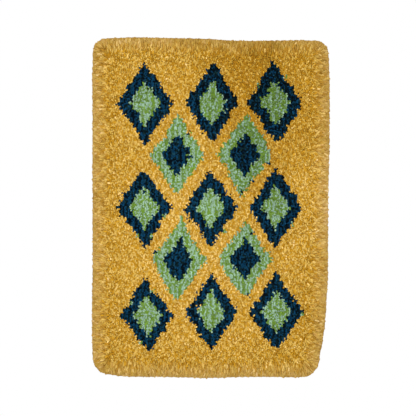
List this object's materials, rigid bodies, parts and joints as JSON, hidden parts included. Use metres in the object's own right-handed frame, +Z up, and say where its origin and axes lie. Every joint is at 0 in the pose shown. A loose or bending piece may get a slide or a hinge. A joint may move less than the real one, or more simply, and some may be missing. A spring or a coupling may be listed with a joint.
{
  "type": "tufted wall hanging",
  "caption": "Thick upright tufted mat of short cut pile on a ground cloth, with rounded corners, a fanned-out pile edge and a diamond pattern, hung flat on a wall.",
  "frame": {"origin": "on the wall plane, at the middle of the ground cloth's top edge, where the hanging is held", "axes": "+Z up, +Y into the wall, so the pile faces -Y, and +X to the right of someone who faces the hanging"},
  "size_m": [0.3003, 0.0145, 0.4303],
  "materials": {
    "mustard_pile": "matte wool cut pile, two mustard yarns threaded together",
    "navy_pile": "matte wool cut pile, navy with a strand of near-black teal",
    "green_pile": "matte wool cut pile, pale aqua with a strand of leaf green",
    "ground_cloth": "matte plain-woven cotton cloth"
  },
  "bodies": {
    "root": {"tufted_mat": "mustard_pile"}
  },
  "joints": []
}
